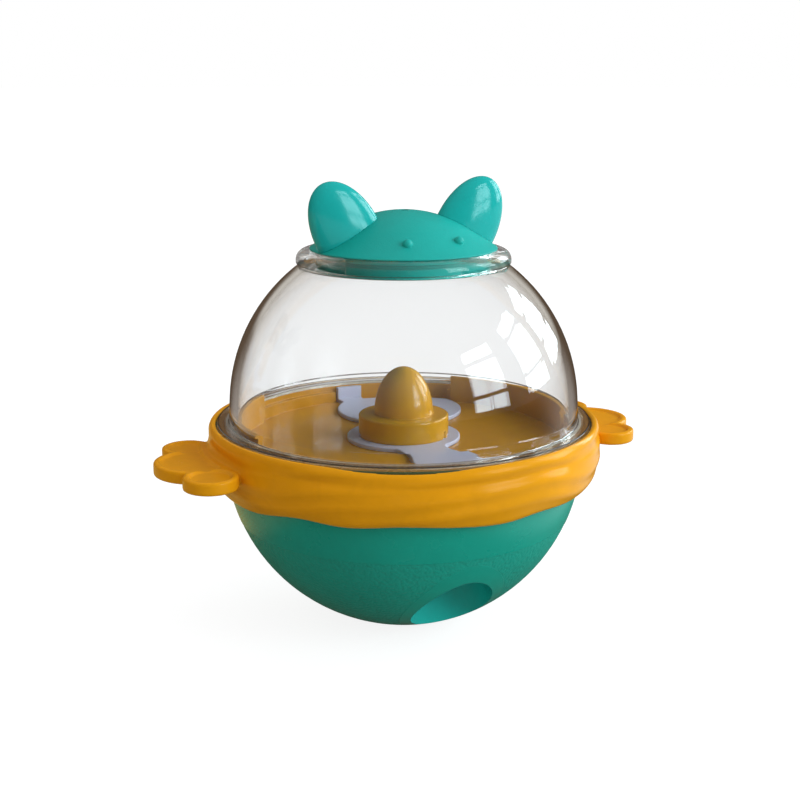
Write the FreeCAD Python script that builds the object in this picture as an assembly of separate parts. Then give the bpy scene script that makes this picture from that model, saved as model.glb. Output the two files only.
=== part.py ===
import FreeCAD, Part
import math
import os

# Rolling treat dispenser: a weighted bowl, a clear dome and an eared cap.
# Millimetres. Z points up, the origin is the centre of the flat foot,
# the outlet and the cap's eyes face -Y, and the two handles lie along X.

V = FreeCAD.Vector
UP = V(0, 0, 1)
DOWN = V(0, 0, -1)
past = 1.0  # cutting shapes run this far past the faces they cut

# Bowl: its stippled part, below the finish line, lies one fine step lower
bowl_r = 55.1
finish_step = 0.1
finish_line_z = 34.0
bowl_low_r = bowl_r - finish_step
bowl_wall = 2.4
foot_r = 9.0
bowl_centre_z = math.sqrt(bowl_low_r ** 2 - foot_r ** 2)
flare_z = 49.5
rim_r = 58.2
rim_flare_z = 53.0
rim_z = 62.75
rim_round = 0.4
cavity_straight_z = 54.0
tray_seat_z = 55.0
tray_seat_r = 55.5

# Outlet sleeve: an upright tube in the bowl, cut off by the sphere on a slant
sleeve_y = -34.7
sleeve_bore_r = 12.0
sleeve_wall = 1.8
sleeve_top_z = 54.8
sleeve_flange_r = 15.4
sleeve_flange_t = 1.2
sleeve_seam = 0.06
sleeve_fit = 0.05

# Screw posts in the bowl and bosses under the tray
post_ring_r = 36.0
post_angles = (0, 90, 180)
post_r = 4.6
post_top_z = 44.0
head_seat_z = 38.0
head_well_r = 3.3
tray_boss_r = 4.0
tray_boss_z = 44.2

# Counterweight and the plate over it
weight_r = 26.0
weight_top_z = 14.8
weight_gap = 0.3
weight_notch_gap = 0.8
cover_z = 15.0
cover_t = 2.0
cover_r = 34.2
cover_notch_gap = 0.5
cover_post_gap = 0.4
cover_rib = (20.0, 22.0, 2.0)
cover_boss_ring_r = 30.0
cover_boss_angles = (45, 135, 225, 315)
cover_boss_r = 3.2
cover_pilot_z = 10.2

# Tray
floor_z = 57.0
tray_r = 55.4
wall_in_r = 53.3
wall_top_z = 62.3
ledge_in_r = 51.2
ledge_z = 60.6
recess_deg = (49.0, 93.4)
catch_in_r = 49.8
catch_out_r = 51.2
catch_top_z = 65.8
catch_deg = ((-20.0, 47.0), (133.0, 192.0))
hub_r = 10.0
hub_z = 54.3
drop_r = 8.5
spout_r = 11.5
spout_z = 50.0
tray_pilot_top_z = 54.0
weld = 0.5

# Quick thread between the tray's catches and the dome's lugs
thread_lead = 12.0
rib_out_r = 52.1
rib_root = 0.2
rib_deg = (-20.0, 12.0)
rib_h = 0.9
rib_z_at_lug = 63.95
lug_deg = -11.0
lug_half_deg = 7.0
lug_in_r = 51.5
lug_root = 0.3
lug_h = 0.8
lug_z = 63.0

# Selector: knob, shutter and what holds them down
shaft_r = 6.0
shaft_end_z = 53.5
bore_gap = 0.06
key_r = 7.5
key_flat = 6.0
shutter_z = 57.1
shutter_t = 1.2
shutter_edge = 0.3
shutter_corner = 3.0
shutter_ring_r = 17.4
blade_neck_x = (-8.8, 5.8)
blade_root_y = -8.0
blade_neck_y = -21.5
blade_end_r = 49.3
blade_end_deg = (-110.5, -77.5)
blade_left_bow = (-10.8, -31.0)
blade_right_bow = (8.8, -32.0)
wing_centre = (12.2, 31.0)
wing_r = 20.7
wing_limit_r = 48.4
tab_deg = (83.0, 92.6)
tab_r = (50.6, 52.2)
tab_root_r = 42.4
tab_top_z = 62.2
knob_r = 13.9
knob_flange_top_z = 64.85
knob_round = 0.7
egg_r = 9.1
knob_top_z = 79.4
pocket_r = (8.8, 12.0)
pocket_top_z = 62.4
knob_pilot_top_z = 66.0
mark_deg = -50.0
mark_r = 1.1
mark_h = 2.2
running_gap = 0.05
friction_ring_r = (6.1, 8.6)
washer_r = (1.65, 9.0)
washer_t = 0.8

# Dome
dome_r = 53.25
dome_centre_z = 68.18
dome_wall = 2.6
dome_foot_z = 62.6
dome_foot_r = (52.4, 55.15)
dome_foot_in_z = 66.49
dome_foot_in_bow = (50.72, 68.7)
dome_ledge = (50.86, 66.2)
dome_edge_round = 0.25
flange_r = 57.2
flange_z = 63.3
flange_top_z = 63.9
flange_corner = (53.55, 0.3)
foot_blend = (53.52, 65.2)
foot_bow = (53.34, 68.35)
foot_join_z = 71.5
sphere_top_z = 110.8
collar_crease = (31.9, 111.5)
collar_r = 32.4
collar_z = 111.9
collar_top_z = 115.7
collar_round = 3.0
collar_bore_r = 26.6
collar_bore_z = 110.2
collar_bore_round = 0.6
gasket_groove_r = (53.5, 54.6)
gasket_groove_h = 0.7
gasket_side_gap = 0.1

# Cap, seal and ears
crown_r = 36.0
crown_arc_r = 18.0
cap_apex_z = 127.3
cap_rim_r = 28.3
cap_rim_z = 116.1
cap_rim_round = 0.25
cap_under_r = 28.15
cap_under_z = 115.78
cap_wall = 2.2
cap_inner_arc_r = 16.9
skirt_r = 26.2
skirt_wall = 2.0
skirt_z = 109.2
skirt_round = 0.5
seal_z = 113.5
seal_ring_r = 25.93
seal_section_r = 0.6
seal_gap = 0.05
vent_r = 1.6
eye_r = 1.5
eye_place = (8.1, -21.0, 119.75)
ear_centre = (19.2, -3.1, 121.3)
ear_half = (10.25, 4.3, 16.8)
ear_tilt_deg = 30.1
ear_seat_gap = 0.02
ear_boss = (1.0, 2.45, 2.0)
ear_peg = (-5.5, 1.55, 2.0)
ear_root = 2.5
ear_hole_gap = 0.05
ear_hole_above = 2.0
ear_boss_hole_below = 4.0
ear_peg_hole_below = 1.0
ear_pilot_l = 9.0
ear_screw_l = 8.0
ear_screw_gap = 0.1

# Band and handles: the band's outer side runs through a low edge, a belly, a groove and a lip
band_gap = 0.1
band_low = (56.1, 45.5)
band_belly = ((59.2, 48.6), (60.7, 54.6))
band_groove = ((60.6, 57.6), (60.05, 60.2))
band_lip = ((60.2, 62.2), (59.2, 63.6))
band_lip_in = ((58.35, 63.7), (57.6, 63.3))
band_lip_under_z = 62.85
band_seat_z = (46.2, 47.8, 49.4)
handle_top_z = 57.2
handle_t = 3.9
mid_lobe = (66.0, 0.0, 12.4)
side_lobes = ((66.6, 16.4, 8.0), (64.2, -16.4, 7.7))
handle_rim = 1.7
handle_recess = 0.7
handle_root_x = (58.6, 64.6)
handle_inner_r = 59.3
recess_inner_r = 62.4

# Screws
m3_r = 1.5
m3_head_r = 2.9
m3_head_h = 1.9
m3_hole_gap = 0.2
tray_screw_l = 13.0
selector_head_r = 3.2
selector_screw_l = 12.0
small_screw_r = 1.25
small_head_r = 2.4
small_head_h = 1.5
small_hole_gap = 0.15
cover_screw_l = 6.5
ear_head_r = 2.9
pilot_gap = 0.02
head_round_share = 0.35
slot_width_share = 0.28
slot_length_share = 1.15
slot_depth_share = 0.55


def cylinder(r, z0, z1, x=0.0, y=0.0):
    return Part.makeCylinder(r, z1 - z0, V(x, y, z0), UP)


def tube(r_out, r_in, z0, z1, x=0.0, y=0.0):
    return cylinder(r_out, z0, z1, x, y).cut(cylinder(r_in, z0 - past, z1 + past, x, y))


def polar(r, deg, z=0.0):
    a = math.radians(deg)
    return V(r * math.cos(a), r * math.sin(a), z)


def ring_sector(r_in, r_out, z0, z1, deg0, deg1):
    """Part of a ring between two angles."""
    wedge = Part.makeCylinder(r_out, z1 - z0, V(0, 0, z0), UP, deg1 - deg0)
    wedge.rotate(V(0, 0, 0), UP, deg0)
    return wedge.cut(cylinder(r_in, z0 - past, z1 + past))


def line(p, q):
    return Part.LineSegment(V(p[0], 0, p[1]), V(q[0], 0, q[1])).toShape()


def arc(p, m, q):
    return Part.Arc(V(p[0], 0, p[1]), V(m[0], 0, m[1]), V(q[0], 0, q[1])).toShape()


def round_corner(before, corner, after):
    """Start, middle and end of the arc that rounds off a corner (r, z, d) from d before its tip."""
    r, z, d = corner
    tip = V(r, z, 0)
    back = (V(*before, 0) - tip).normalize()
    onward = (V(*after, 0) - tip).normalize()
    half = back.getAngle(onward) / 2
    middle = tip + (back + onward).normalize() * (d * (1 - math.sin(half)) / math.cos(half))
    return [(p.x, p.y) for p in (tip + back * d, middle, tip + onward * d)]


def turned(steps):
    """Solid of revolution from (r, z) points. A step of two points is an arc through the first;
    a step (r, z, d) is a corner that is rounded off."""
    edges = []
    last = steps[0]
    round_trip = steps[1:] + [steps[0]]
    for step, following in zip(round_trip, round_trip[1:] + [steps[0]]):
        if isinstance(step[0], tuple):
            edges.append(arc(last, step[0], step[1]))
            last = step[1]
        elif len(step) == 3:
            after = following[0] if isinstance(following[0], tuple) else following[:2]
            start, middle, end = round_corner(last, step, after)
            edges += [line(last, start), arc(start, middle, end)]
            last = end
        elif math.dist(last, step) > 1e-6:
            edges.append(line(last, step))
            last = step
    face = Part.Face(Part.Wire(edges))
    return face.revolve(V(0, 0, 0), UP, 360)


def sphere_point(r, centre_z, z):
    """(radius, z) of a sphere's section at a height."""
    return (math.sqrt(r ** 2 - (z - centre_z) ** 2), z)


def crown_point(r, centre_z, radius):
    """(radius, z) of the upper half of a sphere's section at a radius."""
    return (radius, centre_z + math.sqrt(r ** 2 - radius ** 2))


def sphere_arc(r, centre_z, z_from, z_to):
    """Arc step along a sphere's section between two heights."""
    return (sphere_point(r, centre_z, (z_from + z_to) / 2), sphere_point(r, centre_z, z_to))


def helical_rib(r_in, r_out, height, z_mid, mid_deg, deg0, deg1):
    """Rib that climbs with the dome's thread; z_mid is its lower face at mid_deg."""
    rise = thread_lead * (deg1 - deg0) / 360
    path = Part.makeHelix(thread_lead, rise, r_in)
    z0 = z_mid + thread_lead * (deg0 - mid_deg) / 360
    corners = [V(r_in, 0, 0), V(r_out, 0, 0), V(r_out, 0, height), V(r_in, 0, height), V(r_in, 0, 0)]
    rib = Part.Wire(path).makePipeShell([Part.makePolygon(corners)], True, True)
    rib.rotate(V(0, 0, 0), UP, deg0)
    rib.translate(V(0, 0, z0))
    return rib


def pan_screw(place, axis, shank_r, length, head_r, head_h):
    """Pan-head screw with a cross slot; place is under the head and axis points along the shank."""
    shank = Part.makeCylinder(shank_r, length, place, axis)
    head = Part.makeCylinder(head_r, head_h, place - axis * head_h, axis)
    rounded = [e for e in head.Edges if isinstance(e.Curve, Part.Circle) and
               abs((e.Curve.Center - place).Length - head_h) < 1e-6]
    screw = head.makeFillet(head_h * head_round_share, rounded).fuse(shank)
    side = axis.cross(V(0, 1, 0) if abs(axis.y) < 0.9 else V(1, 0, 0)).normalize()
    across = axis.cross(side)
    slot_w = head_r * slot_width_share
    slot_l = head_r * slot_length_share
    for along, wide in ((side, across), (across, side)):
        corner = place - axis * head_h - along * (slot_l / 2) - wide * (slot_w / 2)
        points = [corner, corner + along * slot_l, corner + along * slot_l + wide * slot_w,
                  corner + wide * slot_w, corner]
        slot = Part.Face(Part.makePolygon(points)).extrude(axis * (head_h * slot_depth_share))
        screw = screw.cut(slot)
    return screw


def bowl_envelope():
    """The bowl's outer form, filled, with the fine step at its finish line."""
    return turned([(0.0, 0.0), (foot_r, 0.0),
                   sphere_arc(bowl_low_r, bowl_centre_z, 0.0, finish_line_z),
                   sphere_point(bowl_r, bowl_centre_z, finish_line_z),
                   sphere_arc(bowl_r, bowl_centre_z, finish_line_z, flare_z),
                   (rim_r, rim_flare_z), (rim_r, rim_z, rim_round), (0.0, rim_z)])


def bowl_cavity():
    r = bowl_r - bowl_wall
    return turned([(0.0, bowl_centre_z - r),
                   sphere_arc(r, bowl_centre_z, bowl_centre_z - r, cavity_straight_z),
                   (r, tray_seat_z), (tray_seat_r, tray_seat_z), (tray_seat_r, rim_z + past),
                   (0.0, rim_z + past)])


def ball(r):
    """Ball about the bowl's centre."""
    return Part.makeSphere(r, V(0, 0, bowl_centre_z))


def bowl():
    envelope = bowl_envelope()
    shell = envelope.cut(bowl_cavity())
    for deg in post_angles:
        p = polar(post_ring_r, deg)
        shell = shell.fuse(cylinder(post_r, 0, post_top_z, p.x, p.y).common(envelope))
    for deg in cover_boss_angles:
        p = polar(cover_boss_ring_r, deg)
        shell = shell.fuse(cylinder(cover_boss_r, 0, cover_z, p.x, p.y).common(envelope))
    hole = cylinder(sleeve_bore_r + sleeve_wall + sleeve_fit, -past, cavity_straight_z, 0, sleeve_y)
    seat = cylinder(sleeve_flange_r + sleeve_seam, -past, finish_line_z, 0, sleeve_y)
    shell = shell.cut(hole).cut(seat.cut(ball(bowl_low_r - sleeve_flange_t)))
    for deg in post_angles:
        p = polar(post_ring_r, deg)
        shell = shell.cut(cylinder(head_well_r, -past, head_seat_z, p.x, p.y))
        shell = shell.cut(cylinder(m3_r + m3_hole_gap, head_seat_z - past, post_top_z + past, p.x, p.y))
    for deg in cover_boss_angles:
        p = polar(cover_boss_ring_r, deg)
        shell = shell.cut(cylinder(small_screw_r + pilot_gap, cover_pilot_z, cover_z + past, p.x, p.y))
    return shell.removeSplitter()


def outlet_sleeve():
    """Tube from the tray's spout to the outlet, with a flange that lies flush in the bowl."""
    envelope = bowl_envelope()
    flange = cylinder(sleeve_flange_r, 0, finish_line_z, 0, sleeve_y).common(envelope)
    flange = flange.cut(ball(bowl_low_r - sleeve_flange_t + sleeve_fit))
    pipe = cylinder(sleeve_bore_r + sleeve_wall, 0, sleeve_top_z, 0, sleeve_y).common(envelope)
    bore = cylinder(sleeve_bore_r, -past, sleeve_top_z + past, 0, sleeve_y)
    return flange.fuse(pipe).cut(bore).removeSplitter()


def counterweight():
    r = bowl_r - bowl_wall - weight_gap
    edge_z = bowl_centre_z - math.sqrt(r ** 2 - weight_r ** 2)
    block = turned([(0.0, bowl_centre_z - r),
                    sphere_arc(r, bowl_centre_z, bowl_centre_z - r, edge_z),
                    (weight_r, weight_top_z), (0.0, weight_top_z)])
    notch_r = sleeve_bore_r + sleeve_wall + weight_notch_gap
    return block.cut(cylinder(notch_r, 0, weight_top_z + past, 0, sleeve_y))


def weight_cover():
    """Plate over the counterweight with a stiffening rib, notched round the sleeve and the posts."""
    rib_in, rib_out, rib_up = cover_rib
    rib_top_z = cover_z + cover_t + rib_up
    plate = cylinder(cover_r, cover_z, cover_z + cover_t)
    plate = plate.fuse(tube(rib_out, rib_in, cover_z + cover_t, rib_top_z))
    notch_r = sleeve_bore_r + sleeve_wall + cover_notch_gap
    plate = plate.cut(cylinder(notch_r, 0, rib_top_z + past, 0, sleeve_y))
    for deg in post_angles:
        p = polar(post_ring_r, deg)
        plate = plate.cut(cylinder(post_r + cover_post_gap, 0, rib_top_z + past, p.x, p.y))
    for deg in cover_boss_angles:
        p = polar(cover_boss_ring_r, deg)
        plate = plate.cut(cylinder(small_screw_r + small_hole_gap, 0, rib_top_z + past, p.x, p.y))
    return plate.removeSplitter()


def cover_screws():
    screws = []
    for deg in cover_boss_angles:
        place = polar(cover_boss_ring_r, deg, cover_z + cover_t)
        screws.append(pan_screw(place, DOWN, small_screw_r, cover_screw_l, small_head_r, small_head_h))
    return Part.makeCompound(screws)


def tray_screws():
    screws = []
    for deg in post_angles:
        place = polar(post_ring_r, deg, head_seat_z)
        screws.append(pan_screw(place, UP, m3_r, tray_screw_l, m3_head_r, m3_head_h))
    return Part.makeCompound(screws)


def tray():
    body = cylinder(tray_r, tray_seat_z, floor_z)
    body = body.fuse(tube(tray_r, wall_in_r, tray_seat_z, wall_top_z))
    body = body.fuse(ring_sector(ledge_in_r, tray_r - weld, tray_seat_z, ledge_z,
                                 recess_deg[1], recess_deg[0] + 360))
    body = body.fuse(cylinder(hub_r, hub_z, floor_z))
    body = body.fuse(cylinder(spout_r, spout_z, floor_z, 0, sleeve_y))
    for deg in post_angles:
        p = polar(post_ring_r, deg)
        body = body.fuse(cylinder(tray_boss_r, tray_boss_z, floor_z - weld, p.x, p.y))
    for side, ends in zip((0, 180), catch_deg):
        catch = ring_sector(catch_in_r, catch_out_r, tray_seat_z, catch_top_z, ends[0], ends[1])
        rib = helical_rib(catch_out_r - rib_root, rib_out_r, rib_h, rib_z_at_lug, side + lug_deg,
                          side + rib_deg[0], side + rib_deg[1])
        body = body.fuse(catch).fuse(rib)
    body = body.cut(cylinder(shaft_r + bore_gap, hub_z - past, floor_z + past))
    body = body.cut(cylinder(drop_r, spout_z - past, floor_z + past, 0, sleeve_y))
    for deg in post_angles:
        p = polar(post_ring_r, deg)
        body = body.cut(cylinder(m3_r + pilot_gap, tray_boss_z - past, tray_pilot_top_z, p.x, p.y))
    return body.removeSplitter()


def double_d(r, flat, z0, z1):
    """Round key with two flats."""
    return cylinder(r, z0, z1).common(Part.makeBox(2 * flat, 2 * r, z1 - z0, V(-flat, -r, z0)))


def blade_outline():
    """Front blade in plan: a neck at the ring that flares out to the tray's wall."""
    left_end = polar(blade_end_r, blade_end_deg[0])
    right_end = polar(blade_end_r, blade_end_deg[1])
    outer_mid = polar(blade_end_r, sum(blade_end_deg) / 2)
    root_left = V(blade_neck_x[0], blade_root_y, 0)
    root_right = V(blade_neck_x[1], blade_root_y, 0)
    left = V(blade_neck_x[0], blade_neck_y, 0)
    right = V(blade_neck_x[1], blade_neck_y, 0)
    edges = [Part.LineSegment(root_left, left).toShape(),
             Part.Arc(left, V(*blade_left_bow, 0), left_end).toShape(),
             Part.Arc(left_end, outer_mid, right_end).toShape(),
             Part.Arc(right_end, V(*blade_right_bow, 0), right).toShape(),
             Part.LineSegment(right, root_right).toShape(),
             Part.LineSegment(root_right, root_left).toShape()]
    return Part.Face(Part.Wire(edges))


def is_inner_corner(edge):
    """True for an upright edge of the shutter where a blade or the wing leaves the ring."""
    if not isinstance(edge.Curve, Part.Line) or abs(edge.Length - shutter_t) > 1e-6:
        return False
    foot = edge.Vertexes[0]
    return abs(math.hypot(foot.X, foot.Y) - shutter_ring_r) < 0.01


def shutter():
    top = shutter_z + shutter_t
    ring = cylinder(shutter_ring_r, shutter_z, top)
    blade = blade_outline().extrude(V(0, 0, shutter_t))
    blade.translate(V(0, 0, shutter_z))
    wing = cylinder(wing_r, shutter_z, top, wing_centre[0], wing_centre[1])
    wing = wing.common(cylinder(wing_limit_r, shutter_z, top))
    plate = ring.fuse([blade, wing]).removeSplitter()
    plate = plate.makeFillet(shutter_corner, [e for e in plate.Edges if is_inner_corner(e)])
    upper = [e for e in plate.Edges if e.BoundBox.ZMin > top - 1e-3]
    plate = plate.makeFillet(shutter_edge, upper)
    bridge = ring_sector(tab_root_r, tab_r[1], shutter_z, top, tab_deg[0], tab_deg[1])
    tab = ring_sector(tab_r[0], tab_r[1], shutter_z, tab_top_z, tab_deg[0], tab_deg[1])
    plate = plate.fuse([bridge, tab])
    plate = plate.cut(double_d(key_r + bore_gap, key_flat + bore_gap, shutter_z - past, top + past))
    return plate.removeSplitter()


def knob():
    """Egg on a round flange, hollowed below, with the key and the shaft that turn in the tray."""
    low_z = shutter_z + shutter_t + running_gap
    egg = Part.Ellipse(V(0, 0, knob_top_z), V(egg_r, 0, knob_flange_top_z), V(0, 0, knob_flange_top_z))
    egg_arc = Part.Arc(egg, 0, math.pi / 2).toShape()
    ends = [v.Point for v in egg_arc.Vertexes]
    foot = max(ends, key=lambda p: p.x)
    tip = min(ends, key=lambda p: p.x)
    edge_low, edge_mid, edge_top = round_corner((knob_r, low_z), (knob_r, knob_flange_top_z, knob_round),
                                                (0, knob_flange_top_z))
    edges = [line((0, low_z), (knob_r, low_z)),
             line((knob_r, low_z), edge_low),
             arc(edge_low, edge_mid, edge_top),
             line(edge_top, (foot.x, foot.z)),
             egg_arc,
             line((tip.x, tip.z), (0, low_z))]
    body = Part.Face(Part.Wire(Part.__sortEdges__(edges))).revolve(V(0, 0, 0), UP, 360)
    body = body.cut(tube(pocket_r[1], pocket_r[0], low_z - past, pocket_top_z))
    body = body.fuse(double_d(key_r, key_flat, shutter_z, low_z + weld))
    body = body.fuse(cylinder(shaft_r, shaft_end_z, shutter_z + weld))
    body = body.cut(cylinder(m3_r + pilot_gap, shaft_end_z - past, knob_pilot_top_z))
    mark = polar(knob_r + mark_r / 2, mark_deg)
    body = body.cut(cylinder(mark_r, low_z - past, low_z + mark_h, mark.x, mark.y))
    return body.removeSplitter()


def friction_ring():
    return tube(friction_ring_r[1], friction_ring_r[0], shaft_end_z + running_gap, hub_z - running_gap)


def selector_washer():
    return tube(washer_r[1], washer_r[0], shaft_end_z - washer_t, shaft_end_z)


def selector_screw():
    place = V(0, 0, shaft_end_z - washer_t)
    return pan_screw(place, UP, m3_r, selector_screw_l, selector_head_r, m3_head_h)


def dome_profile():
    """The dome's section: foot, thin flange, sphere, round collar and an even wall back to the ledge
    over the tray's catches."""
    foot_in_r, foot_out_r = dome_foot_r
    corner_r, fillet = flange_corner
    in_r = dome_r - dome_wall
    return [(foot_in_r, dome_foot_z), (foot_out_r, dome_foot_z, dome_edge_round), (foot_out_r, flange_z),
            (flange_r, flange_z, dome_edge_round), (flange_r, flange_top_z, dome_edge_round),
            (corner_r, flange_top_z, fillet), foot_blend,
            (foot_bow, sphere_point(dome_r, dome_centre_z, foot_join_z)),
            sphere_arc(dome_r, dome_centre_z, foot_join_z, sphere_top_z),
            collar_crease, (collar_r, collar_z), (collar_r, collar_top_z, collar_round),
            (collar_bore_r, collar_top_z, collar_bore_round),
            (collar_bore_r, collar_bore_z, collar_bore_round),
            sphere_point(in_r, dome_centre_z, collar_bore_z),
            sphere_arc(in_r, dome_centre_z, collar_bore_z, foot_join_z),
            (dome_foot_in_bow, dome_ledge), (foot_in_r, dome_foot_in_z)]


def dome():
    shell = turned(dome_profile())
    shell = shell.cut(tube(gasket_groove_r[1], gasket_groove_r[0], dome_foot_z - past,
                           dome_foot_z + gasket_groove_h))
    for side in (0, 180):
        lug = helical_rib(lug_in_r, dome_foot_r[0] + lug_root, lug_h, lug_z, side + lug_deg,
                          side + lug_deg - lug_half_deg, side + lug_deg + lug_half_deg)
        shell = shell.fuse(lug)
    return shell.removeSplitter()


def dome_gasket():
    return tube(gasket_groove_r[1] - gasket_side_gap, gasket_groove_r[0] + gasket_side_gap,
                wall_top_z + running_gap, dome_foot_z + gasket_groove_h - running_gap)


def cap_profile(vent):
    """The cap's outer section, from the vent down to under the rim."""
    centre_z = cap_apex_z - crown_r
    return [crown_point(crown_r, centre_z, vent),
            (crown_point(crown_r, centre_z, crown_arc_r / 2), crown_point(crown_r, centre_z, crown_arc_r)),
            (cap_rim_r, cap_rim_z, cap_rim_round), (cap_under_r, cap_under_z)]


def ear_axis(side):
    t = math.radians(ear_tilt_deg)
    return V(side * math.sin(t), 0, math.cos(t))


def ear_place(side, offset):
    """Point on the crown under the ear, offset down the slope."""
    t = math.radians(ear_tilt_deg)
    slope = V(side * math.cos(t), 0, -math.sin(t))
    return V(side * ear_centre[0], ear_centre[1], ear_centre[2]) + slope * offset


def ear_pin(side, pin, above, below, gap):
    """Round pin square to the crown's slope; pin is its offset, radius and reach."""
    offset, r, reach = pin
    axis = ear_axis(side)
    top = ear_place(side, offset) + axis * above
    return Part.makeCylinder(r + gap, above + reach + below, top, axis * -1)


def cap():
    centre_z = cap_apex_z - crown_r
    inner_r = crown_r - cap_wall
    groove_half = seal_section_r + seal_gap
    groove_r = seal_ring_r - groove_half
    skirt_in_r = skirt_r - skirt_wall
    body = turned(cap_profile(vent_r) +
                  [(skirt_r, cap_under_z), (skirt_r, seal_z + groove_half), (groove_r, seal_z + groove_half),
                   (groove_r, seal_z - groove_half), (skirt_r, seal_z - groove_half),
                   (skirt_r, skirt_z, skirt_round), (skirt_in_r, skirt_z), (skirt_in_r, cap_under_z),
                   crown_point(inner_r, centre_z, cap_inner_arc_r),
                   (crown_point(inner_r, centre_z, cap_inner_arc_r / 2),
                    crown_point(inner_r, centre_z, vent_r))])
    for side in (-1, 1):
        body = body.fuse(Part.makeSphere(eye_r, V(side * eye_place[0], eye_place[1], eye_place[2])))
    for side in (-1, 1):
        body = body.cut(ear_pin(side, ear_boss, ear_hole_above, ear_boss_hole_below, ear_hole_gap))
        body = body.cut(ear_pin(side, ear_peg, ear_hole_above, ear_peg_hole_below, ear_hole_gap))
    return body.removeSplitter()


def ear(side):
    """Flattened egg that stands square on the crown's slope, with a screw boss and a peg below."""
    shape = Part.makeSphere(1.0)
    stretch = FreeCAD.Matrix()
    stretch.scale(ear_half[0], ear_half[1], ear_half[2])
    shape = shape.transformGeometry(stretch)
    shape.rotate(V(0, 0, 0), V(0, 1, 0), side * ear_tilt_deg)
    shape.translate(V(side * ear_centre[0], ear_centre[1], ear_centre[2]))
    crown = turned(cap_profile(0.0) + [(0.0, cap_under_z)])
    crown.translate(V(0, 0, ear_seat_gap))
    below = cylinder(2 * cap_rim_r, cap_under_z - ear_half[2], cap_under_z + ear_seat_gap)
    shape = shape.cut(crown).cut(below)
    shape = shape.fuse([ear_pin(side, pin, ear_root, 0.0, 0.0) for pin in (ear_boss, ear_peg)])
    axis = ear_axis(side)
    pilot_top = ear_place(side, ear_boss[0]) + axis * (ear_pilot_l - ear_root)
    pilot = Part.makeCylinder(small_screw_r + pilot_gap, ear_pilot_l, pilot_top, axis * -1)
    return shape.cut(pilot).removeSplitter()


def ear_screws():
    screws = []
    for side in (-1, 1):
        axis = ear_axis(side)
        place = ear_place(side, ear_boss[0]) - axis * (ear_root + ear_screw_gap)
        screws.append(pan_screw(place, axis, small_screw_r, ear_screw_l, ear_head_r, small_head_h))
    return Part.makeCompound(screws)


def cap_seal():
    return Part.makeTorus(seal_ring_r, seal_section_r, V(0, 0, seal_z), UP)


def handle():
    """Right handle: three round lobes joined to the band, with a rim round a shallow recess."""
    low = handle_top_z - handle_t
    lobes = []
    pockets = []
    for x, y, r in (mid_lobe,) + side_lobes:
        lobes.append(cylinder(r, low, handle_top_z, x, y))
        pockets.append(cylinder(r - handle_rim, handle_top_z - handle_recess, handle_top_z + past, x, y))
    left_y = side_lobes[1][1]
    right_y = side_lobes[0][1]
    root = Part.makeBox(handle_root_x[1] - handle_root_x[0], right_y - left_y, handle_t,
                        V(handle_root_x[0], left_y, low))
    plate = lobes[0].fuse(lobes[1:] + [root])
    pocket = pockets[0].fuse(pockets[1:]).cut(cylinder(recess_inner_r, low, handle_top_z + 2 * past))
    return plate.cut(pocket)


def band():
    """Soft band that grips the bowl's rim, in one moulding with both handles."""
    in_r = rim_r + band_gap
    sphere_r = bowl_r + band_gap
    seat_low, seat_mid, seat_high = [sphere_point(sphere_r, bowl_centre_z, z) for z in band_seat_z]
    ring = turned([(in_r, band_lip_under_z), (in_r, rim_flare_z - running_gap), seat_high,
                   (seat_mid, seat_low), band_low, band_belly, band_groove, band_lip, band_lip_in,
                   (band_lip_in[1][0], band_lip_under_z)])
    inside = cylinder(handle_inner_r, handle_top_z - handle_t - past, handle_top_z + past)
    for deg in (0, 180):
        grip = handle().cut(inside)
        grip.rotate(V(0, 0, 0), UP, deg)
        ring = ring.fuse(grip)
    return ring.removeSplitter()


parts = {
    "bowl": bowl,
    "outlet_sleeve": outlet_sleeve,
    "band": band,
    "counterweight": counterweight,
    "weight_cover": weight_cover,
    "cover_screws": cover_screws,
    "tray": tray,
    "tray_screws": tray_screws,
    "shutter": shutter,
    "knob": knob,
    "friction_ring": friction_ring,
    "selector_washer": selector_washer,
    "selector_screw": selector_screw,
    "dome": dome,
    "dome_gasket": dome_gasket,
    "cap_seal": cap_seal,
    "cap": cap,
    "ear_left": lambda: ear(-1),
    "ear_right": lambda: ear(1),
    "ear_screws": ear_screws,
}

os.makedirs("parts", exist_ok=True)
for name, make in parts.items():
    shape = make()
    box = shape.optimalBoundingBox()
    print(name, "valid" if shape.isValid() else "INVALID", "solids", len(shape.Solids),
          "volume", round(shape.Volume, 1), "z", round(box.ZMin, 2), round(box.ZMax, 2))
    shape.exportStep("parts/" + name + ".step")
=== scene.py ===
"""Rolling treat dispenser: finishes, the soft band's mesh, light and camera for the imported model.

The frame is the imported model: metres, +Z up, origin at the centre of the flat foot,
outlet and eyes towards -Y, handles along X. Angles round the object are in degrees from +X,
anticlockwise as seen from above.
"""

import math

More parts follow.
